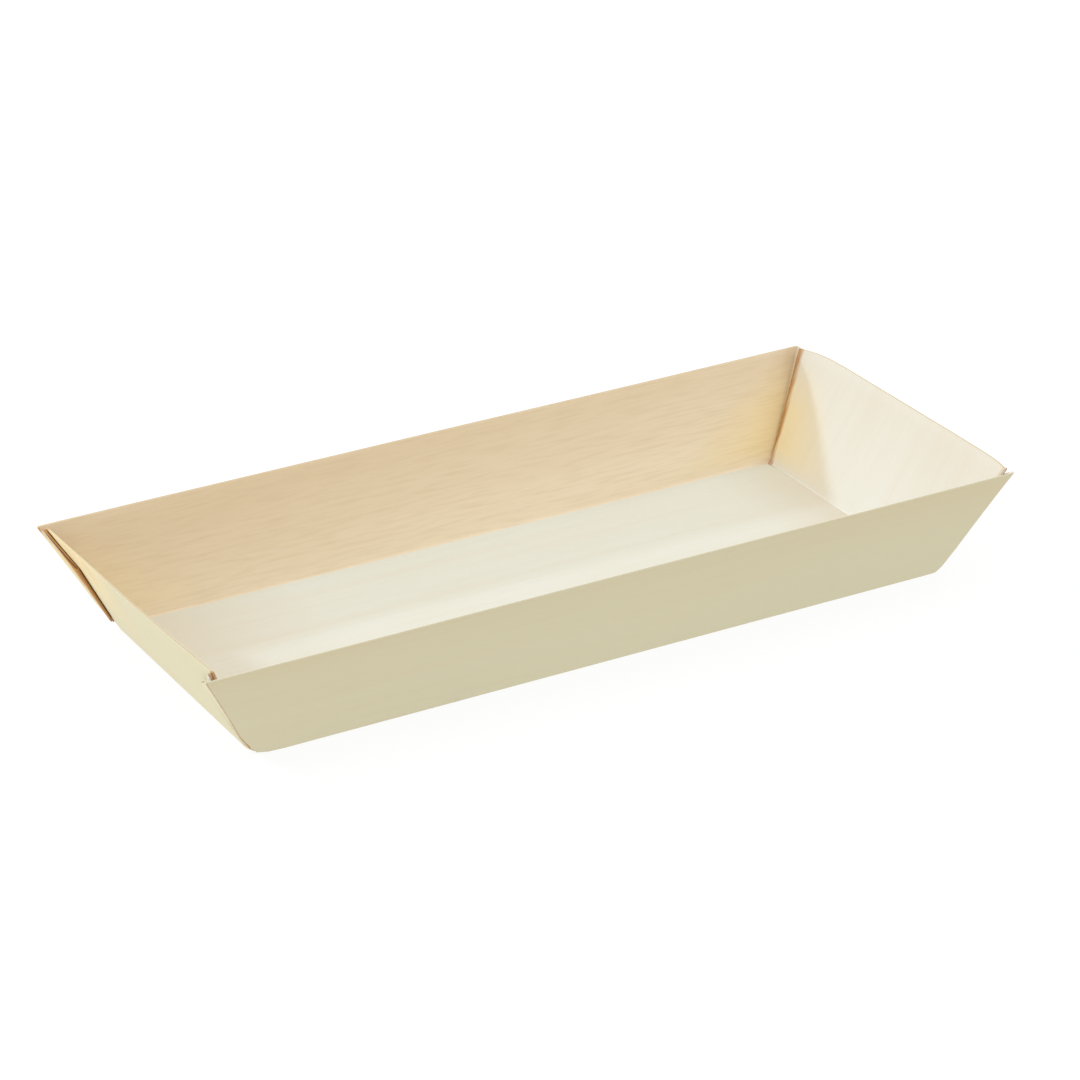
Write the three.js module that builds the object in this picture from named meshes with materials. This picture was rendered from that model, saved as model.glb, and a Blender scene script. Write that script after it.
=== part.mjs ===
import * as THREE from 'three';

// A shallow wooden food tray, folded from one blank of thin wood veneer laminate.
// At each corner the web of the blank is folded in two leaves onto the outside of the end wall and glued.
// Millimetres, +Z up, +X along the tray, +Y to its back. The origin is under the middle of the bottom.

const { degToRad, lerp } = THREE.MathUtils;

// Outside of the tray: the bottom where the walls' planes meet it, the height, and the walls' lean
const BASE_LENGTH = 158.6;
const BASE_WIDTH = 67.8;
const HEIGHT = 23;
const LONG_WALL_LEAN = degToRad(19.9);
const END_WALL_LEAN = degToRad(26.4);

// How far each end wall bellies out at the middle of its rim, and how squarely the belly falls off to the corners
const LEFT_BELLY = 0.8;
const RIGHT_BELLY = 3.8;
const BELLY_POWER = 7;
const END_COLUMNS = 14;
const END_ROWS = 6;

// The sheet and its folds: inside radius of an open fold, and the hairline where two panels part at a crease
const SHEET = 0.55;
const FOLD_RADIUS = 0.5;
const CREASE_GAP = 0.1;
const FOLD_STEPS = 5;

// The web corners: air between the layers, the heights of the leaves' ends, and their flat width between the folds
const LEAF_GAP = 0.3;
const FOOT_AT_FOLD = 1.8;
const FOOT_AT_FREE_EDGE = 3.2;
const TOP_AT_FREE_EDGE = 17;
const LEAF_FLAT_AT_FOOT = 0.4;
const LEAF_FLAT_AT_RIM = 9.8;
const LEAF_ROWS = 4;
const LEAF_COLUMNS = 6;

// The slit that each end wall leaves along the inside corner, and the cut where two creases of the bottom cross
const SLIT_AT_BASE = 0.3;
const SLIT_AT_RIM = 0.9;
const BASE_CORNER_CUT = 0.8;

// The glue spots that hold the leaves
const GLUE_LENGTH = 5;
const GLUE_WIDTH = 3.6;
const GLUE_BELOW_RIM = 9;
const GLUE_CLEARANCE = 0.06;
const GLUE_TIP = degToRad(75);
const GLUE_ROWS = 8;
const GLUE_COLUMNS = 4;

// Finishes
const VENEER = { color: '#e8dfc6', roughness: 0.75, metalness: 0 };
const GLUE = { color: '#d8c9a0', roughness: 0.4, metalness: 0 };

const OUTER_RADIUS = FOLD_RADIUS + SHEET;
const QUARTER = Math.PI / 2;
const LONG = leaningWall(BASE_WIDTH / 2, LONG_WALL_LEAN);
const END = leaningWall(BASE_LENGTH / 2, END_WALL_LEAN);

// Sheet and gap of the end stack along a level line, and the two radii of its hairpin folds
const END_SHEET = SHEET / Math.cos(END_WALL_LEAN);
const END_GAP = LEAF_GAP / Math.cos(END_WALL_LEAN);
const HAIRPIN_INSIDE = new THREE.Vector2(END_GAP / 2, END_GAP / 2);
const HAIRPIN_OUTSIDE = HAIRPIN_INSIDE.clone().addScalar(END_SHEET);
const HAIRPIN_CREASE = CREASE_GAP / 2 / HAIRPIN_OUTSIDE.x;

// Radii of the fold that turns an outer leaf into the long wall
const TURN_INSIDE = new THREE.Vector2(FOLD_RADIUS, FOLD_RADIUS);
const TURN_OUTSIDE = new THREE.Vector2(FOLD_RADIUS + END_SHEET, FOLD_RADIUS + SHEET / Math.cos(LONG_WALL_LEAN));
const TURN_CREASE = CREASE_GAP / 2 / TURN_OUTSIDE.x;

// A list of count values, one for each step from 0
function listOf(count, valueAt) {
  return Array.from({ length: count }, (_, step) => valueAt(step));
}

// A wall that stands on the bottom by a fold: half is where its outer plane meets the floor
function leaningWall(half, lean) {
  const bend = QUARTER - lean;
  return { lean, bend, flat: half - OUTER_RADIUS * Math.tan(bend / 2) };
}

// Distance from the middle of the tray to a wall's face at height z, round the fold at its foot
function faceAt(wall, radius, z) {
  const depth = OUTER_RADIUS - z;
  if (depth >= radius) {
    return wall.flat;
  }
  if (depth > radius * Math.sin(wall.lean)) {
    return wall.flat + Math.sqrt(radius ** 2 - depth ** 2);
  }
  return wall.flat + radius * Math.cos(wall.lean) + (radius * Math.sin(wall.lean) - depth) * Math.tan(wall.lean);
}

const outside = (wall, z) => faceAt(wall, OUTER_RADIUS, z);
const inside = (wall, z) => faceAt(wall, FOLD_RADIUS, z);
const cornerEdge = (z) => inside(LONG, z) - lerp(SLIT_AT_BASE, SLIT_AT_RIM, z / HEIGHT);
const leafFlat = (z) => lerp(LEAF_FLAT_AT_FOOT, LEAF_FLAT_AT_RIM, (z - FOOT_AT_FOLD) / (HEIGHT - FOOT_AT_FOLD));

// Height of a leaf's row at a share of its width, from 0 at the corner to 1 at the free edge
function leafHeight(row, share) {
  const foot = lerp(FOOT_AT_FOLD, FOOT_AT_FREE_EDGE, share);
  const top = lerp(HEIGHT, TOP_AT_FREE_EDGE, share);
  return lerp(foot, top, row / LEAF_ROWS);
}

// The layers of the end stack in the level section at height z: faces along X, and the centres of the folds
function endStack(z) {
  const face = outside(END, z);
  const innerLeaf = face + END_GAP;
  const outerLeaf = innerLeaf + END_SHEET + END_GAP;
  const hairpinY = cornerEdge(z) - HAIRPIN_OUTSIDE.y;
  return {
    face,
    innerLeaf,
    outerLeaf,
    wallHairpin: new THREE.Vector2(face + END_GAP / 2, hairpinY),
    leafHairpin: new THREE.Vector2(outerLeaf - END_GAP / 2, hairpinY - leafFlat(z)),
    turn: new THREE.Vector2(outerLeaf - FOLD_RADIUS, inside(LONG, z) - FOLD_RADIUS),
  };
}

// Pairs of points across the sheet round a fold in the level section at height z
function foldPairs(z, centre, from, to, nearRadii, farRadii) {
  const at = (radii, angle) => {
    const x = centre.x + radii.x * Math.cos(angle);
    const y = centre.y + radii.y * Math.sin(angle);
    return new THREE.Vector3(x, y, z);
  };
  return listOf(FOLD_STEPS + 1, (step) => {
    const angle = lerp(from, to, step / FOLD_STEPS);
    return [at(nearRadii, angle), at(farRadii, angle)];
  });
}

// A pair of points across a layer of the end stack whose near face is at x
function layerPair(x, y, z) {
  return [new THREE.Vector3(x, y, z), new THREE.Vector3(x + END_SHEET, y, z)];
}

// A row across a wall, from its half on the positive side and the mirror that turns it over
function wholeRow(half, mirror) {
  const other = half.map((pair) => pair.map((point) => point.clone().multiply(mirror)));
  return [...other.reverse(), ...half];
}

// Places along half a wall: evenly over its flat, then close together over the strip that folds at its end
function columnPlaces(end, flatColumns) {
  const strip = end - OUTER_RADIUS;
  const flat = listOf(flatColumns, (column) => (strip * (column + 0.5)) / flatColumns);
  return [...flat, ...listOf(FOLD_STEPS + 1, (step) => lerp(strip, end, step / FOLD_STEPS))];
}

// Rows round the fold at the foot of a wall. place(distance, along, z) puts a point, endAt(z) is where the wall stops.
function footRows(wall, flatColumns, place, endAt, mirror) {
  const faceRow = (radius, angle) => {
    const z = OUTER_RADIUS - radius * Math.cos(angle);
    const distance = wall.flat + radius * Math.sin(angle);
    return columnPlaces(endAt(z), flatColumns).map((along) => place(distance, along, z));
  };
  return listOf(FOLD_STEPS + 1, (row) => {
    const angle = (wall.bend * row) / FOLD_STEPS;
    const outer = faceRow(OUTER_RADIUS, angle);
    const inner = faceRow(FOLD_RADIUS, angle);
    return wholeRow(outer.map((point, column) => [point, inner[column]]), mirror);
  });
}

// The back wall: its foot folds up from the bottom and its ends begin the turns into the outer leaves
function longWallRows() {
  const mirror = new THREE.Vector3(-1, 1, 1);
  const place = (distance, along, z) => new THREE.Vector3(along, distance, z);
  const foot = footRows(LONG, 0, place, (z) => outside(END, z), mirror);
  const upright = [FOOT_AT_FOLD, HEIGHT].map((z) => {
    const { turn } = endStack(z);
    const crease = QUARTER / 2 + TURN_CREASE;
    return wholeRow(foldPairs(z, turn, QUARTER, crease, TURN_OUTSIDE, TURN_INSIDE), mirror);
  });
  return [...foot, ...upright];
}

// The right end wall: its foot folds up from the bottom and its sides begin the hairpins into the inner leaves
function endWallRows() {
  const mirror = new THREE.Vector3(1, -1, 1);
  const place = (distance, along, z) => new THREE.Vector3(distance, along, z);
  const foot = footRows(END, END_COLUMNS, place, cornerEdge, mirror);
  const upright = listOf(END_ROWS + 1, (row) => {
    const z = lerp(FOOT_AT_FOLD, HEIGHT, row / END_ROWS);
    const { face, wallHairpin } = endStack(z);
    const crease = QUARTER + HAIRPIN_CREASE;
    const flat = listOf(END_COLUMNS, (column) => {
      const [inner, outer] = layerPair(face - END_SHEET, (wallHairpin.y * (column + 0.5)) / END_COLUMNS, z);
      return [outer, inner];
    });
    const fold = foldPairs(z, wallHairpin, Math.PI, crease, HAIRPIN_INSIDE, HAIRPIN_OUTSIDE);
    return wholeRow([...flat, ...fold], mirror);
  });
  return [...foot, ...upright];
}

// The inner leaf: out of the end wall's hairpin, flat along the end wall, into the free edge
function innerLeafRows() {
  const start = QUARTER - HAIRPIN_CREASE;
  const stop = 3 * QUARTER - HAIRPIN_CREASE;
  return listOf(LEAF_ROWS + 1, (row) => {
    const foldZ = leafHeight(row, 0);
    const edgeZ = leafHeight(row, 1);
    const flat = listOf(LEAF_COLUMNS - 1, (column) => {
      const share = (column + 1) / LEAF_COLUMNS;
      const z = leafHeight(row, share);
      const { innerLeaf, wallHairpin, leafHairpin } = endStack(z);
      return layerPair(innerLeaf, lerp(wallHairpin.y, leafHairpin.y, share), z);
    });
    return [
      ...foldPairs(foldZ, endStack(foldZ).wallHairpin, start, 0, HAIRPIN_INSIDE, HAIRPIN_OUTSIDE),
      ...flat,
      ...foldPairs(edgeZ, endStack(edgeZ).leafHairpin, Math.PI, stop, HAIRPIN_OUTSIDE, HAIRPIN_INSIDE),
    ];
  });
}

// The outer leaf: out of the free edge, flat over the inner leaf, into the turn of the long wall
function outerLeafRows() {
  const start = 3 * QUARTER + HAIRPIN_CREASE;
  const stop = QUARTER / 2 - TURN_CREASE;
  return listOf(LEAF_ROWS + 1, (row) => {
    const foldZ = leafHeight(row, 0);
    const edgeZ = leafHeight(row, 1);
    const flat = listOf(LEAF_COLUMNS - 1, (column) => {
      const share = 1 - (column + 1) / LEAF_COLUMNS;
      const z = leafHeight(row, share);
      const { outerLeaf, turn, leafHairpin } = endStack(z);
      return layerPair(outerLeaf, lerp(turn.y, leafHairpin.y, share), z);
    });
    return [
      ...foldPairs(edgeZ, endStack(edgeZ).leafHairpin, start, 4 * QUARTER, HAIRPIN_INSIDE, HAIRPIN_OUTSIDE),
      ...flat,
      ...foldPairs(foldZ, endStack(foldZ).turn, 0, stop, TURN_INSIDE, TURN_OUTSIDE),
    ];
  });
}

// An oval spot of glue pressed into the gap whose near face lies at the given distance outside the end wall
function glueRows(fromFace) {
  const middleZ = HEIGHT - GLUE_BELOW_RIM;
  const middleY = endStack(middleZ).wallHairpin.y - leafFlat(middleZ) / 2;
  const clearance = GLUE_CLEARANCE / Math.cos(END_WALL_LEAN);
  const upSlope = (GLUE_LENGTH / 2) * Math.cos(END_WALL_LEAN);
  return listOf(GLUE_ROWS + 1, (row) => {
    const angle = lerp(-GLUE_TIP, GLUE_TIP, row / GLUE_ROWS);
    const z = middleZ + upSlope * Math.sin(angle);
    const near = outside(END, z) + fromFace + clearance;
    const far = outside(END, z) + fromFace + END_GAP - clearance;
    return listOf(GLUE_COLUMNS + 1, (column) => {
      const y = middleY + (GLUE_WIDTH / 2) * Math.cos(angle) * lerp(-1, 1, column / GLUE_COLUMNS);
      return [new THREE.Vector3(near, y, z), new THREE.Vector3(far, y, z)];
    });
  });
}

// The same rows with an end's belly: it grows with the height and dies out at the corners, which the webs hold
function bellied(rows, belly) {
  const shifted = (point) => {
    const share = Math.min(Math.abs(point.y) / cornerEdge(point.z), 1);
    const x = point.x + (belly * point.z * (1 - share ** BELLY_POWER)) / HEIGHT;
    return new THREE.Vector3(x, point.y, point.z);
  };
  return rows.map((row) => row.map((pair) => pair.map(shifted)));
}

// Six times the volume that an indexed mesh encloses, negative where its faces point inwards
function signedVolume(points, faces) {
  return faces.reduce((sum, [a, b, c]) => {
    const normal = new THREE.Vector3().crossVectors(points[b], points[c]);
    return sum + points[a].dot(normal);
  }, 0);
}

// A closed sheet lofted through rows of point pairs, one point of each pair on either face
function foldedSheet(rows) {
  const columns = rows[0].length;
  const points = rows.flat(2);
  const index = (row, column, face) => (row * columns + column) * 2 + face;
  const faces = [];
  const quad = (a, b, c, d) => faces.push([a, b, c], [a, c, d]);
  const lastRow = rows.length - 1;
  const lastColumn = columns - 1;
  for (let row = 0; row < lastRow; row += 1) {
    for (let column = 0; column < lastColumn; column += 1) {
      const right = column + 1;
      const up = row + 1;
      quad(index(row, column, 0), index(row, right, 0), index(up, right, 0), index(up, column, 0));
      quad(index(row, column, 1), index(up, column, 1), index(up, right, 1), index(row, right, 1));
    }
  }
  for (let column = 0; column < lastColumn; column += 1) {
    const right = column + 1;
    quad(index(0, column, 0), index(0, column, 1), index(0, right, 1), index(0, right, 0));
    quad(index(lastRow, column, 0), index(lastRow, right, 0), index(lastRow, right, 1), index(lastRow, column, 1));
  }
  for (let row = 0; row < lastRow; row += 1) {
    const up = row + 1;
    quad(index(row, 0, 0), index(up, 0, 0), index(up, 0, 1), index(row, 0, 1));
    quad(index(row, lastColumn, 0), index(row, lastColumn, 1), index(up, lastColumn, 1), index(up, lastColumn, 0));
  }
  const outward = signedVolume(points, faces) < 0 ? faces.map(([a, b, c]) => [a, c, b]) : faces;
  const geometry = new THREE.BufferGeometry().setFromPoints(points);
  geometry.setIndex(outward.flat());
  geometry.computeVertexNormals();
  return geometry;
}

// The flat bottom, with its corners cut where the creases cross
function bottomPanel() {
  const x = END.flat;
  const y = LONG.flat;
  const cut = BASE_CORNER_CUT;
  const outline = new THREE.Shape([
    new THREE.Vector2(x, y - cut),
    new THREE.Vector2(x - cut, y),
    new THREE.Vector2(cut - x, y),
    new THREE.Vector2(-x, y - cut),
    new THREE.Vector2(-x, cut - y),
    new THREE.Vector2(cut - x, -y),
    new THREE.Vector2(x - cut, -y),
    new THREE.Vector2(x, cut - y),
  ]);
  return new THREE.ExtrudeGeometry(outline, { depth: SHEET, bevelEnabled: false });
}

function piece(name, geometry, finish) {
  const mesh = new THREE.Mesh(geometry, new THREE.MeshStandardMaterial(finish));
  mesh.name = name;
  return mesh;
}

// The two leaves and two glue spots of a back right corner, on an end with the given belly
function webCorner(name, belly) {
  const corner = new THREE.Group();
  const add = (part, rows, finish) => {
    corner.add(piece(`${name}_${part}`, foldedSheet(bellied(rows, belly)), finish));
  };
  add('inner_leaf', innerLeafRows(), VENEER);
  add('outer_leaf', outerLeafRows(), VENEER);
  add('wall_glue', glueRows(0), GLUE);
  add('leaf_glue', glueRows(END_GAP + END_SHEET), GLUE);
  return corner;
}

const tray = new THREE.Group();
tray.add(piece('bottom_panel', bottomPanel(), VENEER));

for (const [side, along] of [['back', 1], ['front', -1]]) {
  const wall = piece(`${side}_wall`, foldedSheet(longWallRows()), VENEER);
  wall.scale.y = along;
  tray.add(wall);
}

for (const [end, across, belly] of [['right', 1, RIGHT_BELLY], ['left', -1, LEFT_BELLY]]) {
  const wall = piece(`${end}_end_wall`, foldedSheet(bellied(endWallRows(), belly)), VENEER);
  wall.scale.x = across;
  tray.add(wall);
  for (const [side, along] of [['back', 1], ['front', -1]]) {
    const corner = webCorner(`${side}_${end}`, belly);
    corner.scale.set(across, along, 1);
    tray.add(corner);
  }
}

export default tray;
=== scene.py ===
import math

import bmesh
import bpy
from mathutils import Matrix, Vector, noise


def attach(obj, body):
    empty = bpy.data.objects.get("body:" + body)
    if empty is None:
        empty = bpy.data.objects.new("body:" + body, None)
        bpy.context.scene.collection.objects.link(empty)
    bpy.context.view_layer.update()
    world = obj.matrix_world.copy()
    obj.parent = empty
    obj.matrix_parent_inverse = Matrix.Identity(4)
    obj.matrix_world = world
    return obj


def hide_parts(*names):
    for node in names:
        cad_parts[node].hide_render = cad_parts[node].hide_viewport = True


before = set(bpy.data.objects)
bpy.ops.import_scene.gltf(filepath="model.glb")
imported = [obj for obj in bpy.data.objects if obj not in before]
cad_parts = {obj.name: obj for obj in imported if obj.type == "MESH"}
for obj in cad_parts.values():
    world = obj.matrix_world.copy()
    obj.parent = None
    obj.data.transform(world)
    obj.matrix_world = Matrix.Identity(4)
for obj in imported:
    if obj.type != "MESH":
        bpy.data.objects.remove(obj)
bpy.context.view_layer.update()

# A food tray folded from one blank of thin veneer laminate. Sizes are in mm; MM turns them to metres.
# Every panel is modelled as the middle of its sheet, folded at its edges, and then given its thickness.

MM = 0.001
# A point this close to a line counts as on it, and points this close to each other are merged
TOUCH = 0.01
MERGE = 0.001

# The tray
HALF_LENGTH = 79.3
HALF_WIDTH = 33.9
HEIGHT = 23.0
LONG_LEAN = math.radians(19.9)
END_LEAN = math.radians(26.4)
# How far each end bows out at its rim, and how squarely it bends by each corner
LEFT_BELLY = 0.0
RIGHT_BELLY = 3.8
BELLY_POWER = {"back_right": 9, "front_right": 9, "back_left": 1, "front_left": 1}
# How far each corner's rim has sprung out or in, how much of that its long wall holds back, how far the tip of
# the long wall splays, and how far the end wall has slipped back from the slit
OPEN_CORNER = {"back_right": 0.8, "front_right": 2.5, "back_left": 0.4, "front_left": -1.4}
CORNER_HELD = {"back_right": 0.7, "front_right": 0.7, "back_left": 0.7, "front_left": 1.0}
TIP_SPLAY = {"back_right": 0.0, "front_right": 1.0, "back_left": 0.5, "front_left": 0.3}
TIP_POWER = 3
OPEN_SLIP = {"back_right": 0.0, "front_right": 1.0, "back_left": 0.0, "front_left": 1.6}
SLIP_POWER = 9
# Where along the tray a long wall starts to follow its sprung corner, and where it follows in full
SPRING_ALONG = (45, 85)
# The corners of the bottom are blunt up to this height
BLUNT_CORNER = {"back_right": 2.6, "front_right": 1.0, "back_left": 2.6, "front_left": 4.6}
BLUNT_HEIGHT = 6.0
# The cockle of the sheet: its depth and length, a finer ripple on it, and where it sets in
COCKLE = 0.16
COCKLE_LENGTH = 42
RIPPLE = 0.05
RIPPLE_LENGTH = 15
OTHER_COCKLE = Vector((7, 3, 1))
COCKLE_FOOT = 2
COCKLE_ALONG = (40, 80)
COCKLE_ACROSS = (25, 35)

# The sheet and its folds
SHEET = 0.55
FOLD = 0.5
GAP = 0.3
FOLD_STEPS = 5
LEVEL_SHEET = SHEET / math.cos(END_LEAN)
LEVEL_GAP = GAP / math.cos(END_LEAN)
LAYERS = 2 * (LEVEL_GAP + LEVEL_SHEET)
FOOT_RADIUS = FOLD + SHEET / 2
HAIRPIN_RADIUS = (LEVEL_GAP + LEVEL_SHEET) / 2
HAIRPIN_OUTSIDE = LEVEL_GAP / 2 + LEVEL_SHEET
TURN_X = FOLD + LEVEL_SHEET / 2
TURN_Y = FOLD + SHEET / 2 / math.cos(LONG_LEAN)
# How many faces each panel is cut into, along and up
BOTTOM_GRID = (40, 16)
LONG_GRID = (48, 10)
END_GRID = (60, 10)
LEAF_GRID = (8, 10)
# Cut edges: how wide their softened corner is, what angle counts as sharp, and what angle is shaded smooth
SOFT_EDGE = 0.05
SHARP_ANGLE = math.radians(50)
SMOOTH_ANGLE = math.radians(35)

# The web corners
FOOT_AT_FOLD = 1.8
FOOT_AT_FREE_EDGE = 3.2
TOP_AT_FREE_EDGE = 17.0
LONG_FOOT_START = 0.3
# How far the layers of a corner stay apart, as a share of their free height: at its foot and at its rim
PRESSED_AT_FOOT = 0.38
PRESSED_AT_RIM = {"back_right": 0.6, "front_right": 0.6, "back_left": 0.65, "front_left": 0.9}
LEAF_AT_FOOT = 0.4
LEAF_AT_RIM = 9.8
SLIT_AT_BASE = 0.08
SLIT_AT_RIM = 1.2
BASE_CORNER_CUT = 0.15

# The glue spots
GLUE_LENGTH = 5.0
GLUE_WIDTH = 3.6
GLUE_HALF_DEPTH = 0.4 * GAP
GLUE_BELOW_RIM = 9.0

# Heights where the middle of a sheet ends, so that the inner edge of its square-cut rim is at the tray's
# height, where the level rim lies, and how far below it a point still belongs to the rim
RIM_SPARE = 0.03
LONG_RIM = HEIGHT - RIM_SPARE - SHEET / 2 * math.sin(LONG_LEAN)
END_RIM = HEIGHT - RIM_SPARE - SHEET / 2 * math.sin(END_LEAN)
LEVEL_RIM = HEIGHT - 0.01
RIM_BAND = 0.6


def end_face(z):
    return HALF_LENGTH + z * math.tan(END_LEAN)


def long_face(z):
    return HALF_WIDTH + z * math.tan(LONG_LEAN)


def long_inside(z):
    return long_face(z) - SHEET / math.cos(LONG_LEAN)


def long_middle(z):
    return long_inside(z) + SHEET / 2 / math.cos(LONG_LEAN)


def corner_edge(z):
    return long_inside(z) - (SLIT_AT_BASE + (SLIT_AT_RIM - SLIT_AT_BASE) * z / HEIGHT)


def hairpin_y(z):
    return corner_edge(z) - HAIRPIN_OUTSIDE


def leaf_edge_y(z):
    share = (z - FOOT_AT_FOLD) / (HEIGHT - FOOT_AT_FOLD)
    return hairpin_y(z) - (LEAF_AT_FOOT + (LEAF_AT_RIM - LEAF_AT_FOOT) * share)


def inner_leaf_x(z):
    return end_face(z) + LEVEL_GAP + LEVEL_SHEET / 2


def outer_leaf_x(z):
    return end_face(z) + 2 * LEVEL_GAP + LEVEL_SHEET * 1.5


def long_foot_end(z):
    """Half the length of a long wall's foot, which reaches out under its leaves."""
    return end_face(z) + LAYERS * max(z - LONG_FOOT_START, 0) / FOOT_AT_FOLD


def turn_x(z):
    return outer_leaf_x(z) - TURN_X


def turn_y(z):
    return long_inside(z) - FOLD


# Modelling by hand

def choose(piece):
    """Selects a piece and nothing else."""
    bpy.ops.object.select_all(action="DESELECT")
    piece.select_set(True)
    bpy.context.view_layer.objects.active = piece


def edit(piece):
    choose(piece)
    bpy.ops.object.mode_set(mode="EDIT")


def done():
    bpy.ops.object.mode_set(mode="OBJECT")


def pick(piece, test):
    """Selects the vertices whose place in mm passes the test, in edit mode."""
    bpy.context.tool_settings.mesh_select_mode = (True, False, False)
    mesh = bmesh.from_edit_mesh(piece.data)
    for vertex in mesh.verts:
        vertex.select_set(bool(test(vertex.co / MM)))
    mesh.select_flush_mode()
    bmesh.update_edit_mesh(piece.data)


def pick_edges(piece, test):
    """Selects the edges that pass the test, in edit mode."""
    bpy.context.tool_settings.mesh_select_mode = (False, True, False)
    mesh = bmesh.from_edit_mesh(piece.data)
    for edge in mesh.edges:
        edge.select_set(bool(test(edge)))
    mesh.select_flush_mode()
    bmesh.update_edit_mesh(piece.data)


def panel(name, corners, across, up):
    """A flat panel with corners low first, low second, high first, high second, cut into a grid."""
    bpy.ops.object.select_all(action="DESELECT")
    bpy.ops.mesh.primitive_plane_add(size=2 * MM)
    piece = bpy.context.object
    piece.name = name
    bpy.ops.object.mode_set(mode="EDIT")
    for start, place in zip(((-1, -1, 0), (1, -1, 0), (-1, 1, 0), (1, 1, 0)), corners):
        pick(piece, lambda co: (co - Vector(start)).length < TOUCH)
        bpy.ops.transform.translate(value=(Vector(place) - Vector(start)) * MM)
    low_side = (Vector(corners[1]) - Vector(corners[0])).normalized()

    def level(edge):
        """1 for an edge along the panel's low side, and less for a steeper one."""
        return abs((edge.verts[1].co - edge.verts[0].co).normalized().dot(low_side))

    pick_edges(piece, lambda edge: level(edge) > 0.9)
    bpy.ops.mesh.subdivide(number_cuts=across - 1)
    pick_edges(piece, lambda edge: level(edge) < 0.8)
    bpy.ops.mesh.subdivide(number_cuts=up - 1)
    done()
    return piece


def arc(radius_x, radius_y, start, stop):
    """Level steps in mm round a fold, from one angle in degrees to another."""
    angles = [math.radians(start + (stop - start) * k / FOLD_STEPS) for k in range(FOLD_STEPS + 1)]
    places = [Vector((radius_x * math.cos(a), radius_y * math.sin(a), 0)) for a in angles]
    return [b - a for a, b in zip(places, places[1:])]


def roll_edge(piece, test, steps):
    """Folds the sheet on over an edge, by extruding it through the steps."""
    edit(piece)
    pick(piece, test)
    for step in steps:
        bpy.ops.mesh.extrude_region_move(TRANSFORM_OT_translate={"value": step * MM})
    done()


def roll_foot(piece, rows, stretch):
    """Folds the foot of a wall under it. Each row is its step in mm and its half length before and after."""
    edit(piece)
    pick(piece, lambda co: co.z < FOOT_AT_FOLD + TOUCH)
    for step, before, after in rows:
        bpy.ops.mesh.extrude_region_move(TRANSFORM_OT_translate={"value": Vector(step) * MM})
        factor = after / before
        value = (factor, 1, 1) if stretch == "x" else (1, factor, 1)
        bpy.ops.transform.resize(value=value, center_override=(0, 0, 0))
    done()


def foot_rows(half, lean, low_half, end_at):
    """Steps from a wall's lowest straight row down round its fold to the bottom panel."""
    bend = math.pi / 2 - lean
    flat = half - (FOLD + SHEET) * math.tan(bend / 2)
    start = half + FOOT_AT_FOLD * math.tan(lean) - SHEET / 2 / math.cos(lean)
    places = [(start, FOOT_AT_FOLD)]
    for k in range(FOLD_STEPS, -1, -1):
        angle = bend * k / FOLD_STEPS
        places.append((flat + FOOT_RADIUS * math.sin(angle), FOLD + SHEET - FOOT_RADIUS * math.cos(angle)))
    halves = [low_half] + [end_at(z) for _, z in places[1:]]
    rows = []
    for k in range(len(places) - 1):
        out = places[k + 1][0] - places[k][0]
        rows.append((out, places[k + 1][1] - places[k][1], halves[k], halves[k + 1]))
    return rows


def copy_over(piece, name, x, y):
    """A copy with its own mesh, turned over to the other side of the tray along x or y."""
    choose(piece)
    bpy.ops.object.duplicate()
    copy = bpy.context.object
    copy.name = name
    edit(copy)
    bpy.ops.mesh.select_all(action="SELECT")
    bpy.ops.transform.resize(value=(x, y, 1), center_override=(0, 0, 0))
    done()
    return copy


def thicken(piece, outward):
    """Turns the sheet's outer veneer the way that is given, and gives the sheet its thickness."""
    edit(piece)
    bpy.ops.mesh.select_all(action="SELECT")
    bpy.ops.mesh.remove_doubles(threshold=MERGE * MM)
    bpy.ops.mesh.normals_make_consistent(inside=False)
    done()
    facing = sum((face.normal * face.area for face in piece.data.polygons), Vector())
    if facing.dot(Vector(outward)) < 0:
        edit(piece)
        bpy.ops.mesh.select_all(action="SELECT")
        bpy.ops.mesh.flip_normals()
        done()
    piece.vertex_groups.new(name="inner_veneer")
    choose(piece)
    sheet = piece.modifiers.new("Sheet", "SOLIDIFY")
    sheet.thickness = SHEET * MM
    sheet.offset = 0
    sheet.use_even_offset = True
    sheet.use_quality_normals = True
    sheet.shell_vertex_group = "inner_veneer"
    bpy.ops.object.modifier_apply(modifier=sheet.name)


def level_rim(piece):
    """Cuts the rim level, as the blank's edge lies when the tray stands."""
    edit(piece)
    pick(piece, lambda co: co.z > HEIGHT - RIM_BAND)
    bpy.ops.transform.resize(value=(1, 1, 0), center_override=(0, 0, LEVEL_RIM * MM))
    done()


def soften(piece, test):
    """Takes the sharpness off the cut edges whose middle in mm passes the test."""
    edit(piece)
    pick_edges(piece, lambda e: len(e.link_faces) == 2 and e.calc_face_angle() > SHARP_ANGLE
               and test((e.verts[0].co + e.verts[1].co) / 2 / MM))
    bpy.ops.mesh.bevel(offset=SOFT_EDGE * MM, segments=2, affect="EDGES", clamp_overlap=False)
    done()


def ramp(value, start, stop):
    """0 before the start, 1 after the stop, and an even slope between."""
    return min(max((value - start) / (stop - start), 0), 1)


def nearest_corner(place):
    return ("back" if place.y > 0 else "front") + ("_right" if place.x > 0 else "_left")


def layers_kept(place):
    at_rim = PRESSED_AT_RIM[nearest_corner(place)]
    return PRESSED_AT_FOOT + (at_rim - PRESSED_AT_FOOT) * ramp(place.z, 0, HEIGHT)


def pressed(place):
    """Draws the layers outside an end wall together towards the foot of the corner, where the creases meet."""
    beyond = abs(place.x) - end_face(place.z)
    if beyond > 0 and place.z > 0:
        place.x -= math.copysign(beyond * (1 - layers_kept(place)), place.x)


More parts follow.
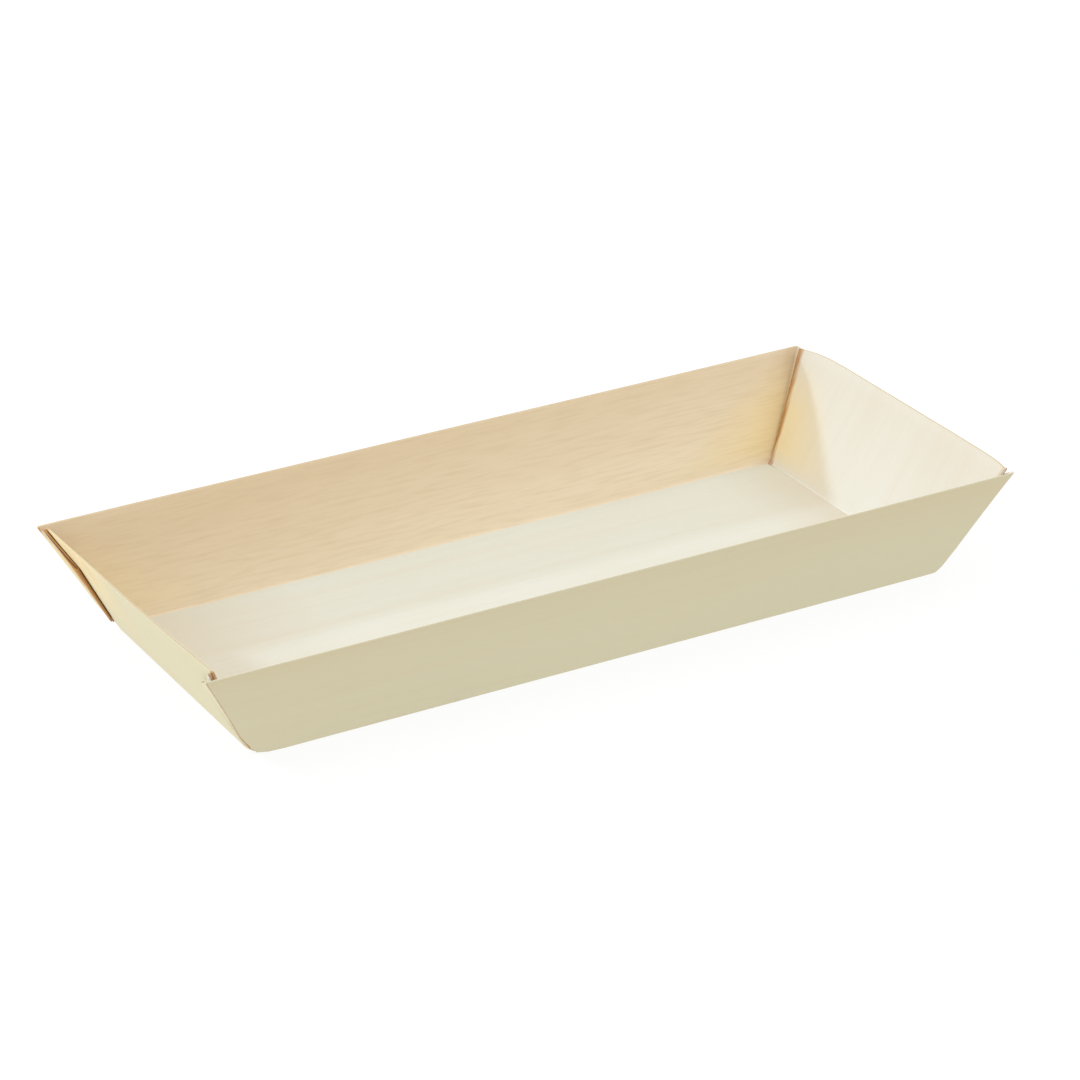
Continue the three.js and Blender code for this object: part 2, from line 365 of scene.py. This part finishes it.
def blunted(place):
    """Rounds the foot of the corner in plan: the thick creases can't come to a point."""
    edge_x = end_face(place.z) + LAYERS * layers_kept(place) * ramp(place.z, 0, FOOT_AT_FOLD)
    radius = BLUNT_CORNER[nearest_corner(place)]
    x = abs(place.x) - edge_x + radius
    y = abs(place.y) - long_face(place.z) + radius
    if x > 0 and y > 0:
        share = (1 - max(x, y) / math.hypot(x, y)) * (1 - ramp(place.z, 0, BLUNT_HEIGHT))
        place.x -= math.copysign(x * share, place.x)
        place.y -= math.copysign(y * share, place.y)


def bellied(place, depth, slips):
    """Bows an end out between its corners, and springs the corners and the tips of the long walls."""
    corner = nearest_corner(place)
    rise = ramp(place.z, 0, HEIGHT)
    across = min(abs(place.y) / corner_edge(place.z), 1)
    share = across ** BELLY_POWER[corner]
    past = ramp(abs(place.y), corner_edge(place.z), long_face(place.z))
    near = ramp(abs(place.x), *SPRING_ALONG)
    out = depth * (1 - share) + OPEN_CORNER[corner] * share * (1 - CORNER_HELD[corner] * past) * near
    splay = TIP_SPLAY[corner] * past * near * rise ** TIP_POWER
    if slips:
        place.y -= math.copysign(OPEN_SLIP[corner] * across ** SLIP_POWER * rise ** 2, place.y)
    place.x += math.copysign(1, place.x) * (out * rise + splay)


def cockled(place):
    """Lets the thin sheet wander from flat, most at the rim and nothing at the bottom, and inwards only."""
    rise = ramp(place.z, COCKLE_FOOT, HEIGHT)
    ripple = RIPPLE * noise.noise(place / RIPPLE_LENGTH)
    x = COCKLE + COCKLE * noise.noise(place / COCKLE_LENGTH) + ripple
    y = COCKLE + COCKLE * noise.noise(place / COCKLE_LENGTH + OTHER_COCKLE) + ripple
    place.x -= math.copysign(x * rise * ramp(abs(place.x), *COCKLE_ALONG), place.x)
    place.y -= math.copysign(y * rise * ramp(abs(place.y), *COCKLE_ACROSS), place.y)


def spring(piece, depth, slips):
    """Bends a finished piece the way the real sheet springs: no operator gives these even sweeps."""
    for vertex in piece.data.vertices:
        place = vertex.co / MM
        pressed(place)
        blunted(place)
        bellied(place, depth, slips)
        cockled(place)
        vertex.co = place * MM


# How far apart in metres the figures of the two veneers are taken, so that they differ
PLIES_APART = 0.05
TONES = ("ply", "strip", "crack_and_shade", "warm_shade", "heart_and_shade")


def lay_grain(piece, strip, origin, at, along, across, crack_and_shade_at, heart_and_shade_at):
    """Stores each point's place on the flat blank, along and across its grain, and its ply, strip and tones."""
    mesh = piece.data
    group = piece.vertex_groups["inner_veneer"].index
    mesh.attributes.new("grain", "FLOAT_VECTOR", "POINT")
    for tone in TONES:
        mesh.attributes.new(tone, "FLOAT", "POINT")
    grain = []
    values = {tone: [] for tone in TONES}
    for vertex in mesh.vertices:
        place = vertex.co / MM
        off = place - Vector(origin)
        flat = Vector((at[0] + off.dot(Vector(along)), at[1] + off.dot(Vector(across)), 0))
        inner = max((g.weight for g in vertex.groups if g.group == group), default=0)
        # Painted warm shade outside the back left rim, which also darkens it there
        outer_shade_share = outer_warm_shade(place) * (1 - inner)
        grain.extend(flat * MM + Vector((0, 0, PLIES_APART * inner)))
        values["ply"].append(inner)
        values["strip"].append(strip)
        # The crack tone also carries painted shade of the slits and gaps.
        values["crack_and_shade"].append(max(crack_and_shade_at(place), OUTER_SHADE_DARKENING * outer_shade_share))
        # The warm tone is painted warm shade.
        values["warm_shade"].append(painted_warm_shade_at(place) * inner + outer_shade_share)
        # The heart tone also carries painted light and shade.
        values["heart_and_shade"].append(heart_and_shade_at(place) * inner + outer_heart(place) * (1 - inner))
    mesh.attributes["grain"].data.foreach_set("vector", grain)
    for tone in TONES:
        mesh.attributes[tone].data.foreach_set("value", values[tone])


def dress(piece, material, *nodes):
    choose(piece)
    bpy.ops.object.shade_smooth_by_angle(angle=SMOOTH_ANGLE)
    piece.data.materials.clear()
    piece.data.materials.append(material)
    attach(piece, "root")
    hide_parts(*nodes)


def leaf_top(y):
    """Height of a leaf's sloping top edge."""
    share = ramp(abs(y), hairpin_y(END_RIM), leaf_edge_y(TOP_AT_FREE_EDGE))
    return END_RIM + (TOP_AT_FREE_EDGE - END_RIM) * share


# Cracks and painted shade: 1 where the fibres have cracked open over a fold, and where brown is painted for the
# shade in the slits and gaps at the corners, 0 where the sheet is sound. First how dark each corner's turns,
# leaves and end folds are, then the widths of the dark strips and the darkening that goes with the painted warm
# shade outside the back left rim

TURN_CRACK_AND_SHADE = {"back_right": 0.6, "front_right": 0.6, "back_left": 0.6, "front_left": 1.2}
LEAF_CRACK_AND_SHADE = {"back_right": 0.5, "front_right": 0.3, "back_left": 1.4, "front_left": 0.1}
END_CRACK_AND_SHADE = {"back_right": 1.4, "front_right": 0.5, "back_left": 0.7, "front_left": 0.9}
TURN_CRACK = 0.6
TURN_SOUND_AT_RIM = 0.5
HAIRPIN_CRACK = 0.4
END_SLIT_SHADE_BAND = (2.0, 0.7)
FREE_EDGE_SHADE_BAND = 1.5
TOP_CRACK_AND_SHADE_BAND = (0.5, 0.2)
OUTER_SHADE_DARKENING = 0.3


def no_wear(place):
    return 0


def turn_crack_and_shade(place):
    """Along the turns of a long wall and its outer leaves, most at the foot: cracks, with painted shade where
    the turns line the slits.
    """
    turned = ramp(abs(place.x), turn_x(place.z), turn_x(place.z) + TURN_CRACK)
    past = ramp(abs(place.y), turn_y(place.z), turn_y(place.z) + TURN_CRACK)
    return TURN_CRACK_AND_SHADE[nearest_corner(place)] * (1.0 - TURN_SOUND_AT_RIM * place.z / HEIGHT) * turned * past


def free_edge_crack_and_shade(place):
    """At a leaf's free edge and its sloping top: painted shade of the gaps between the layers, with the cracked
    fibres of the fold.
    """
    free = 1 - ramp(abs(place.y), leaf_edge_y(place.z), leaf_edge_y(place.z) + FREE_EDGE_SHADE_BAND)
    top = ramp(place.z, leaf_top(place.y) - TOP_CRACK_AND_SHADE_BAND[0], leaf_top(place.y) - TOP_CRACK_AND_SHADE_BAND[1])
    return LEAF_CRACK_AND_SHADE[nearest_corner(place)] * max(free, top)


def outer_crack_and_shade(place):
    return max(turn_crack_and_shade(place), free_edge_crack_and_shade(place))


def end_crack_and_shade(place):
    """Along an end wall's hairpins: painted shade of the slit beside them, with the cracks of the fold."""
    edge = corner_edge(place.z)
    return END_CRACK_AND_SHADE[nearest_corner(place)] * ramp(abs(place.y), edge - END_SLIT_SHADE_BAND[0], edge - END_SLIT_SHADE_BAND[1])


def inner_crack_and_shade(place):
    """Along an inner leaf's two hairpins: cracks, with painted shade of the gaps beside them."""
    folded = ramp(abs(place.y), hairpin_y(place.z), hairpin_y(place.z) + HAIRPIN_CRACK)
    return max(folded, free_edge_crack_and_shade(place))


# Painted warm shade: a warm colour painted in the shadow that the back wall casts by the back inside corners,
# and over the shaded gaps outside the back left rim. How far it reaches from a back corner, the heights where
# it sets in and fades, its share at each end, and its reach on the outside

WARM_SHADE_REACH = 30
WARM_SHADE_SETS_IN = (0.8, 3)
WARM_SHADE_FADES = (12, 22)
WARM_SHADE_AT_RIGHT = 1.0
WARM_SHADE_AT_LEFT = 0.5
OUTER_WARM_SHADE_ACROSS = (8, 22)
OUTER_WARM_SHADE_ALONG = (82, 89)


def painted_warm_shade_at(place):
    """Painted warm shade beside the back inside corners, where the back wall's shadow falls, widest at the
    foot.
    """
    from_corner = max(end_face(place.z) - abs(place.x), corner_edge(place.z) - place.y)
    most = WARM_SHADE_AT_RIGHT if place.x > 0 else WARM_SHADE_AT_LEFT
    beside = most * (1 - ramp(from_corner, 0, WARM_SHADE_REACH - place.z))
    return beside * ramp(place.z, *WARM_SHADE_SETS_IN) * (1 - ramp(place.z, *WARM_SHADE_FADES))


def outer_warm_shade(place):
    """Painted warm shade on the outside of the back left rim, beside its leaves, over the shaded gaps between
    the leaves and the end wall.
    """
    return ramp(place.y, *OUTER_WARM_SHADE_ACROSS) * ramp(-place.x, *OUTER_WARM_SHADE_ALONG)


# Heartwood and painted light and shade: how much of the heartwood colour is mixed in, and the places between
# which it comes or goes. On the bottom and beside the right slit the same colour paints light and shade

EVEN_HEART = 0.36
OUTER_HEART = 0.2
OUTER_HEART_RISE = (9, 21)
PAINTED_LIGHT_BY_BACK_FOLD = (20, 33)
FRONT_SHADE = 0.14
FRONT_SHADE_FADE = (0, 10)
RIGHT_FOLD_DARKENING = 0.4
RIGHT_FOLD_DARKENING_FADE = (2, 18)
LEFT_CORNER_SHADE = 0.5
LEFT_CORNER_SHADE_FADE = (4, 40)
LEFT_CORNER_SHADE_RISE = (-20, 25)
END_HEART = 0.33
END_HEART_RISE = (4, 20)
BACK_HEART = 0.8
BACK_HEART_SLOPE = 0.0037
SLIT_SHADE = 0.8
SLIT_SHADE_FADE = (0.5, 5)
SLIT_SHADE_POWER = 1.5


def outer_heart(place):
    """A little on the outside of the long walls, towards the rim."""
    on_long_wall = ramp(abs(place.y), corner_edge(place.z) - 1, corner_edge(place.z))
    return OUTER_HEART * ramp(place.z, *OUTER_HEART_RISE) * on_long_wall


def even_heart(place):
    return EVEN_HEART


def no_heart(place):
    return 0


def bottom_heart_light_and_shade(place):
    """None beside the back fold, and more towards the front and both ends. Leaving it out beside the back fold
    paints light over the back wall's shade, the extra towards the front paints shade over the strip the key
    light reaches, and the extra in the back left corner paints its warm shade.
    """
    right = RIGHT_FOLD_DARKENING * (1 - ramp(HALF_LENGTH - place.x, *RIGHT_FOLD_DARKENING_FADE))
    left = LEFT_CORNER_SHADE * (1 - ramp(HALF_LENGTH + place.x, *LEFT_CORNER_SHADE_FADE)) * ramp(place.y, *LEFT_CORNER_SHADE_RISE)
    even = EVEN_HEART * (1 - ramp(place.y, *PAINTED_LIGHT_BY_BACK_FOLD))
    return even + FRONT_SHADE * (1 - ramp(place.y, *FRONT_SHADE_FADE)) + max(right, left)


def back_heart_and_shade(place):
    """More towards the rim and the left, and beside the right slit, where it is painted shade."""
    # Painted shade beside the right slit
    beside = SLIT_SHADE * (1 - ramp(end_face(place.z) - place.x, *SLIT_SHADE_FADE)) ** SLIT_SHADE_POWER
    return BACK_HEART * ramp(place.z / HEIGHT - BACK_HEART_SLOPE * place.x, 0, 1) + beside


def end_heart(place):
    """More towards the rim."""
    return END_HEART * ramp(place.z, *END_HEART_RISE)


# Materials

def linear(hex_code):
    """An sRGB hex colour as linear light with full alpha."""
    parts = [int(hex_code[k:k + 2], 16) / 255 for k in (1, 3, 5)]
    return tuple(c / 12.92 if c <= 0.04045 else ((c + 0.055) / 1.055) ** 2.4 for c in parts) + (1,)


def node(tree, kind, links=(), **settings):
    """Adds a node with its settings. Links are pairs of an input and a value or another node's output."""
    made = tree.nodes.new(kind)
    for key, value in settings.items():
        setattr(made, key, value)
    for key, value in links:
        if isinstance(value, bpy.types.NodeSocket):
            tree.links.new(value, made.inputs[key])
        else:
            made.inputs[key].default_value = value
    return made


# The veneer varies over the blank: colours of its middle, its ends and its warmer back strip, with heartwood
MIDDLE_STRIP = 0.0
END_STRIP = 0.5
BACK_STRIP = 1.0
INNER_VENEER = ("#e2e3d6", "#e1d9c6", "#f0ddbe")
OUTER_VENEER = ("#cec6a5", "#dbd0aa", "#cec6a5")
CUT_EDGE = ("#bfb48f", "#bfa274", "#b89f74")
# Heartwood, also painted as light and shade on the bottom and as shade beside the right slit
HEARTWOOD_AND_SHADE = "#c09a62"
# Painted warm shade
PAINTED_WARM_SHADE = "#f2d89e"
# Brown of cracked folds, also painted as the shade in the slits and gaps at the corners
CRACK_AND_SHADE_BROWN = "#ac6c10"
PATCH = "#d9b98a"
BAND = "#cfae7d"
STREAK = "#c9a673"
FIBRE = "#bf9a68"
FLECK = "#b07f45"
# The figure's sizes in mm along and across the grain, and its detail. Poplar's fibres are about 0.03 mm wide
# and 1 mm long: they are drawn in bundles about ten times as coarse, as coarse as they need to be to show
PATCH_SIZE = (60, 22, 1.0)
BAND_SIZE = (160, 7, 2.0)
STREAK_SIZE = (38, 1.3, 3.0)
FIBRE_SIZE = (7, 0.28, 2.0)
FLECK_SIZE = (9, 0.7, 2.0)
RAISED_GRAIN = 0.06


def poplar_veneer():
    """Rotary-cut poplar veneer on a paper core, sanded and left raw.

    It is pale and matt, with fine straight fibres, slow bands of colour, warmer heartwood with dark flecks
    along the back wall, a line of core at the cut edges and brown fibres where the folds have cracked. Painted
    shade is mixed in too: brown in the slits and gaps at the corners, a warm tint in the back wall's shadow by
    the back corners and outside the back left rim, heartwood colour beside the right slit, and lighter and
    darker tones on the bottom for its light and shade.
    """
    material = bpy.data.materials.new("poplar_veneer_sanded_raw")
    material.use_nodes = True
    tree = material.node_tree
    tree.nodes.clear()
    grain = node(tree, "ShaderNodeAttribute", attribute_name="grain").outputs["Vector"]
    ply, strip, crack_and_shade, warm_shade, heart_and_shade = (
        node(tree, "ShaderNodeAttribute", attribute_name=tone).outputs["Fac"] for tone in TONES)

    def figure(length, width, detail):
        size = (1 / (length * MM), 1 / (width * MM), 1 / PLIES_APART)
        laid = node(tree, "ShaderNodeMapping", [("Vector", grain), ("Scale", size)]).outputs[0]
        return node(tree, "ShaderNodeTexNoise",
                    [("Vector", laid), ("Scale", 1.0), ("Detail", detail)]).outputs[0]

    def by_strip(colours):
        made = node(tree, "ShaderNodeValToRGB", [("Fac", strip)])
        stops = made.color_ramp.elements
        stops.new(END_STRIP)
        for stop, colour in zip(stops, colours):
            stop.color = linear(colour)
        return made.outputs["Color"]

    def stained(tone, value, colour, low, high, share):
        amount = node(tree, "ShaderNodeMapRange", [("Value", value), ("From Min", low), ("From Max", high),
                                                   ("To Max", share)])
        mixed = node(tree, "ShaderNodeMix", [(0, amount.outputs[0]), (6, tone), (7, colour)], data_type="RGBA")
        return mixed.outputs[2]

    patches, bands, streaks, fibres, flecks = (
        figure(*size) for size in (PATCH_SIZE, BAND_SIZE, STREAK_SIZE, FIBRE_SIZE, FLECK_SIZE))
    back_flecks = node(tree, "ShaderNodeMath", [(0, strip), (1, flecks)], operation="MULTIPLY").outputs[0]
    # Cracks, and painted shade of the slits and gaps
    cracked_and_shaded = node(tree, "ShaderNodeMath", [(0, crack_and_shade), (1, streaks)], operation="MULTIPLY").outputs[0]
    tone = by_strip(OUTER_VENEER)
    for value, colour, low, high, share in (
            (ply, by_strip(CUT_EDGE), 0.24, 0.34, 1.0),
            (ply, by_strip(INNER_VENEER), 0.66, 0.76, 1.0),
            # Heartwood, and painted light and shade
            (heart_and_shade, linear(HEARTWOOD_AND_SHADE), 0.0, 1.0, 0.5),
            # Painted warm shade
            (warm_shade, linear(PAINTED_WARM_SHADE), 0.0, 1.0, 0.8),
            (patches, linear(PATCH), 0.45, 0.80, 0.10),
            (bands, linear(BAND), 0.48, 0.78, 0.09),
            (streaks, linear(STREAK), 0.50, 0.82, 0.08),
            (fibres, linear(FIBRE), 0.50, 0.85, 0.06),
            (back_flecks, linear(FLECK), 0.45, 0.80, 0.15),
            (cracked_and_shaded, linear(CRACK_AND_SHADE_BROWN), 0.10, 0.55, 0.85)):
        tone = stained(tone, value, colour, low, high, share)
    relief = node(tree, "ShaderNodeMath", [(0, streaks), (1, fibres)], operation="ADD").outputs[0]
    bump = node(tree, "ShaderNodeBump",
                [("Height", relief), ("Strength", 0.35), ("Distance", RAISED_GRAIN * MM)])
    rough = node(tree, "ShaderNodeMapRange", [("Value", fibres), ("To Min", 0.62), ("To Max", 0.82)])
    shader = node(tree, "ShaderNodeBsdfPrincipled", [
        ("Base Color", tone), ("Roughness", rough.outputs[0]), ("Normal", bump.outputs[0]), ("IOR", 1.5)])
    node(tree, "ShaderNodeOutputMaterial", [("Surface", shader.outputs[0])])
    return material


GLUE_CLOUD = 1.2
CLEAR_GLUE = "#cbb683"
CLOUDY_GLUE = "#e3d6ae"


def hot_melt_glue():
    """Hot-melt glue pressed flat and set: amber, cloudy and a little glossy."""
    material = bpy.data.materials.new("hot_melt_glue_set")
    material.use_nodes = True
    tree = material.node_tree
    tree.nodes.clear()
    place = node(tree, "ShaderNodeTexCoord").outputs["Object"]
    cloud = node(tree, "ShaderNodeTexNoise", [("Vector", place), ("Scale", 1 / (GLUE_CLOUD * MM))])
    tone = node(tree, "ShaderNodeMix", [
        (0, cloud.outputs[0]), (6, linear(CLEAR_GLUE)), (7, linear(CLOUDY_GLUE))], data_type="RGBA")
    shader = node(tree, "ShaderNodeBsdfPrincipled", [("Base Color", tone.outputs[2]), ("Roughness", 0.38)])
    node(tree, "ShaderNodeOutputMaterial", [("Surface", shader.outputs[0])])
    return material


# The bottom

veneer = poplar_veneer()
end_bend = math.pi / 2 - END_LEAN
long_bend = math.pi / 2 - LONG_LEAN
bottom_x = HALF_LENGTH - (FOLD + SHEET) * math.tan(end_bend / 2)
bottom_y = HALF_WIDTH - (FOLD + SHEET) * math.tan(long_bend / 2)
bottom = panel("bottom_sheet", [(-bottom_x, -bottom_y, SHEET / 2), (bottom_x, -bottom_y, SHEET / 2),
                                (-bottom_x, bottom_y, SHEET / 2), (bottom_x, bottom_y, SHEET / 2)],
               *BOTTOM_GRID)
edit(bottom)
pick(bottom, lambda co: abs(co.x) > bottom_x - TOUCH and abs(co.y) > bottom_y - TOUCH)
bpy.ops.mesh.bevel(offset=BASE_CORNER_CUT * MM, affect="VERTICES")
done()
thicken(bottom, (0, 0, -1))
lay_grain(bottom, MIDDLE_STRIP, (0, 0, 0), (0, 0), (1, 0, 0), (0, 1, 0), no_wear, bottom_heart_light_and_shade)
spring(bottom, 0, False)
dress(bottom, veneer, "bottom_panel")

# The long walls, from their lowest straight row up

low = FOOT_AT_FOLD
back = panel("back_wall_sheet", [(-turn_x(low), long_middle(low), low), (turn_x(low), long_middle(low), low),
                                 (-turn_x(LONG_RIM), long_middle(LONG_RIM), LONG_RIM),
                                 (turn_x(LONG_RIM), long_middle(LONG_RIM), LONG_RIM)], *LONG_GRID)
rows = foot_rows(HALF_WIDTH, LONG_LEAN, turn_x(low), long_foot_end)
roll_foot(back, [((0, out, down), a, b) for out, down, a, b in rows], "x")
for side in (1, -1):
    steps = [Vector((side * s.x, s.y, 0)) for s in arc(TURN_X, TURN_Y, 90, 45)]
    roll_edge(back, lambda co: co.z > low - TOUCH and side * co.x > turn_x(co.z) - TOUCH, steps)
front = copy_over(back, "front_wall_sheet", 1, -1)
for wall, side, name, strip, heart_and_shade_at in ((back, 1, "back_wall", BACK_STRIP, back_heart_and_shade),
                                          (front, -1, "front_wall", MIDDLE_STRIP, even_heart)):
    thicken(wall, (0, side, 0))
    level_rim(wall)
    soften(wall, lambda co: co.z > HEIGHT - RIM_BAND)
    foot = (0, side * HALF_WIDTH, 0)
    up = Vector((0, side * math.sin(LONG_LEAN), math.cos(LONG_LEAN)))
    lay_grain(wall, strip, foot, foot, (1, 0, 0), up * side, turn_crack_and_shade, heart_and_shade_at)
    spring(wall, 0, False)
    dress(wall, veneer, name)

# The end walls

low_x = end_face(low) - LEVEL_SHEET / 2
rim_x = end_face(END_RIM) - LEVEL_SHEET / 2
right = panel("right_end_sheet", [(low_x, -hairpin_y(low), low), (low_x, hairpin_y(low), low),
                                  (rim_x, -hairpin_y(END_RIM), END_RIM), (rim_x, hairpin_y(END_RIM), END_RIM)],
              *END_GRID)
rows = foot_rows(HALF_LENGTH, END_LEAN, hairpin_y(low), corner_edge)
roll_foot(right, [((out, 0, down), a, b) for out, down, a, b in rows], "y")
for side in (1, -1):
    steps = [Vector((s.x, side * s.y, 0)) for s in arc(HAIRPIN_RADIUS, HAIRPIN_RADIUS, 180, 90)]
    roll_edge(right, lambda co: co.z > low - TOUCH and side * co.y > hairpin_y(co.z) - TOUCH, steps)
left = copy_over(right, "left_end_sheet", -1, 1)
end_up = Vector((math.sin(END_LEAN), 0, math.cos(END_LEAN)))
for wall, side, depth, name in ((right, 1, RIGHT_BELLY, "right_end_wall"),
                                (left, -1, LEFT_BELLY, "left_end_wall")):
    thicken(wall, (side, 0, 0))
    level_rim(wall)
    soften(wall, lambda co: co.z > HEIGHT - RIM_BAND)
    up = Vector((side * end_up.x, 0, end_up.z))
    foot = (side * HALF_LENGTH, 0, 0)
    lay_grain(wall, END_STRIP, foot, foot, up * side, (0, 1, 0), end_crack_and_shade, end_heart)
    spring(wall, depth, True)
    dress(wall, veneer, name)

# The web corners: the grain turns with the sheet over the folds

CORNERS = (("back", "right", 1, 1), ("front", "right", 1, -1),
           ("back", "left", -1, 1), ("front", "left", -1, -1))
crease = Vector((math.tan(END_LEAN), math.tan(LONG_LEAN), 1)).normalized()
corner_foot = Vector((HALF_LENGTH, HALF_WIDTH, 0))
end_out = Vector((math.cos(END_LEAN), 0, -math.sin(END_LEAN)))
wall_turn = math.acos(crease.dot(Vector((1, 0, 0))))
outer_grain = Matrix.Rotation(wall_turn, 3, end_out) @ crease
if outer_grain.y > 0:
    outer_grain = Matrix.Rotation(-wall_turn, 3, end_out) @ crease
free_edge = (Vector((outer_leaf_x(END_RIM), leaf_edge_y(END_RIM), END_RIM))
             - Vector((outer_leaf_x(low), leaf_edge_y(low), low))).normalized()
inner_grain = 2 * outer_grain.dot(free_edge) * free_edge - outer_grain


def leaf_corners(x_at, y_at):
    foot = FOOT_AT_FREE_EDGE
    top = TOP_AT_FREE_EDGE
    return [(x_at(low), y_at(low), low), (x_at(foot), leaf_edge_y(foot), foot),
            (x_at(END_RIM), y_at(END_RIM), END_RIM), (x_at(top), leaf_edge_y(top), top)]


inner = panel("back_right_inner_leaf_sheet", leaf_corners(inner_leaf_x, hairpin_y), *LEAF_GRID)
roll_edge(inner, lambda co: co.y > hairpin_y(co.z) - TOUCH, arc(HAIRPIN_RADIUS, HAIRPIN_RADIUS, 0, 90))
roll_edge(inner, lambda co: co.y < leaf_edge_y(co.z) + TOUCH, arc(HAIRPIN_RADIUS, HAIRPIN_RADIUS, 180, 270))
outer = panel("back_right_outer_leaf_sheet", leaf_corners(outer_leaf_x, turn_y), *LEAF_GRID)
roll_edge(outer, lambda co: co.y > turn_y(co.z) - TOUCH, arc(TURN_X, TURN_Y, 0, 45))
roll_edge(outer, lambda co: co.y < leaf_edge_y(co.z) + TOUCH, arc(HAIRPIN_RADIUS, HAIRPIN_RADIUS, 360, 270))

leaves = []
for place, end, x, y in CORNERS:
    for leaf, kind in ((inner, "inner_leaf"), (outer, "outer_leaf")):
        name = f"{place}_{end}_{kind}"
        made = leaf if x > 0 and y > 0 else copy_over(leaf, f"{name}_sheet", x, y)
        leaves.append((made, name, x, y))
for leaf, name, x, y in leaves:
    is_inner = name.endswith("inner_leaf")
    thicken(leaf, (-x if is_inner else x, 0, 0))
    soften(leaf, lambda co: co.z > leaf_top(co.y) - RIM_BAND)
    along = inner_grain if is_inner else outer_grain
    along = Vector((x * along.x, y * along.y, along.z))
    across = Vector((x * end_out.x, 0, end_out.z)).cross(along)
    start = (x * corner_foot.x, y * corner_foot.y, 0)
    lay_grain(leaf, END_STRIP, start, (corner_foot.x, y * corner_foot.y), along, across,
              inner_crack_and_shade if is_inner else outer_crack_and_shade, no_heart)
    spring(leaf, RIGHT_BELLY if x > 0 else LEFT_BELLY, is_inner)
    dress(leaf, veneer, name)

# The glue spots: flat ovals between the layers

glue = hot_melt_glue()
spot_z = HEIGHT - GLUE_BELOW_RIM
spot_y = (hairpin_y(spot_z) + leaf_edge_y(spot_z)) / 2
for place, end, x, y in CORNERS:
    for name, level in (("wall_glue", LEVEL_GAP / 2), ("leaf_glue", LEVEL_GAP * 1.5 + LEVEL_SHEET)):
        bpy.ops.object.select_all(action="DESELECT")
        bpy.ops.mesh.primitive_uv_sphere_add(segments=24, ring_count=12, radius=MM)
        spot = bpy.context.object
        spot.name = f"{place}_{end}_{name}_spot"
        edit(spot)
        bpy.ops.mesh.select_all(action="SELECT")
        bpy.ops.transform.resize(value=(GLUE_HALF_DEPTH, GLUE_WIDTH / 2, GLUE_LENGTH / 2),
                                 center_override=(0, 0, 0))
        bpy.ops.transform.rotate(value=-x * END_LEAN, orient_axis="Y", center_override=(0, 0, 0))
        middle = Vector((x * (end_face(spot_z) + level), y * spot_y, spot_z))
        bpy.ops.transform.translate(value=middle * MM)
        done()
        spring(spot, RIGHT_BELLY if x > 0 else LEFT_BELLY, False)
        bpy.ops.object.shade_smooth()
        spot.data.materials.append(glue)
        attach(spot, "root")
        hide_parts(f"{place}_{end}_{name}")

# The floor, light and camera. The floor is in metres, and lies just under the tray

FLOOR_SIZE = 12
FLOOR_BELOW = 0.02

bpy.ops.object.select_all(action="DESELECT")
bpy.ops.mesh.primitive_plane_add(size=FLOOR_SIZE, location=(0, 0, -FLOOR_BELOW * MM))
floor = bpy.context.object
floor.name = "floor"
# Cast white acrylic lit from behind: an even, shadowless white
paint = bpy.data.materials.new("backlit_white_acrylic")
paint.use_nodes = True
sheet_of_light = paint.node_tree.nodes["Principled BSDF"].inputs
sheet_of_light["Base Color"].default_value = linear("#595959")
sheet_of_light["Roughness"].default_value = 0.9
sheet_of_light["Emission Color"].default_value = linear("#ffffff")
sheet_of_light["Emission Strength"].default_value = 0.88
floor.data.materials.append(paint)


def softbox(name, place, size, power, colour):
    """A square soft light that faces the tray, with its place and size in metres."""
    lamp = bpy.data.lights.new(name, "AREA")
    lamp.size = size
    lamp.energy = power
    lamp.color = colour
    thing = bpy.data.objects.new(name, lamp)
    thing.location = place
    thing.rotation_euler = (-Vector(place)).to_track_quat("-Z", "Y").to_euler()
    bpy.context.scene.collection.objects.link(thing)


softbox("key_light", Vector((-0.70, 0.80, 0.52)) * 1.3, 0.12, 9.3, (0.514, 0.698, 1))
softbox("top_light", Vector((-0.1, 0.4, 1.5)), 1.6, 6, (1, 0.98, 0.91))

world = bpy.data.worlds.new("pale_room")
world.use_nodes = True
room = world.node_tree.nodes["Background"].inputs
room["Color"].default_value = (0.912, 0.95, 1, 1)
room["Strength"].default_value = 1.07
bpy.context.scene.world = world

# The camera, fitted to the photograph: its focal length and frame in pixels, and its place and turn
FOCAL_PIXELS = 4185.536
FRAME_PIXELS = 1080
SENSOR = 36
CAMERA_PLACE = Vector((-366.960, -700.362, 380.943))
RIGHT_WAY = Vector((0.878212, -0.477549, -0.026277))
UP_WAY = Vector((0.222207, 0.358753, 0.906598))
BACK_WAY = Vector((-0.423518, -0.802024, 0.421176))

lens = bpy.data.cameras.new("camera")
lens.sensor_width = SENSOR
lens.lens = FOCAL_PIXELS * SENSOR / FRAME_PIXELS
lens.clip_start = 0.01
camera = bpy.data.objects.new("camera", lens)
turned = Matrix((RIGHT_WAY, UP_WAY, BACK_WAY)).transposed().to_4x4()
camera.matrix_world = Matrix.Translation(CAMERA_PLACE * MM) @ turned
bpy.context.scene.collection.objects.link(camera)
bpy.context.scene.camera = camera
bpy.context.scene.view_settings.view_transform = "Standard"
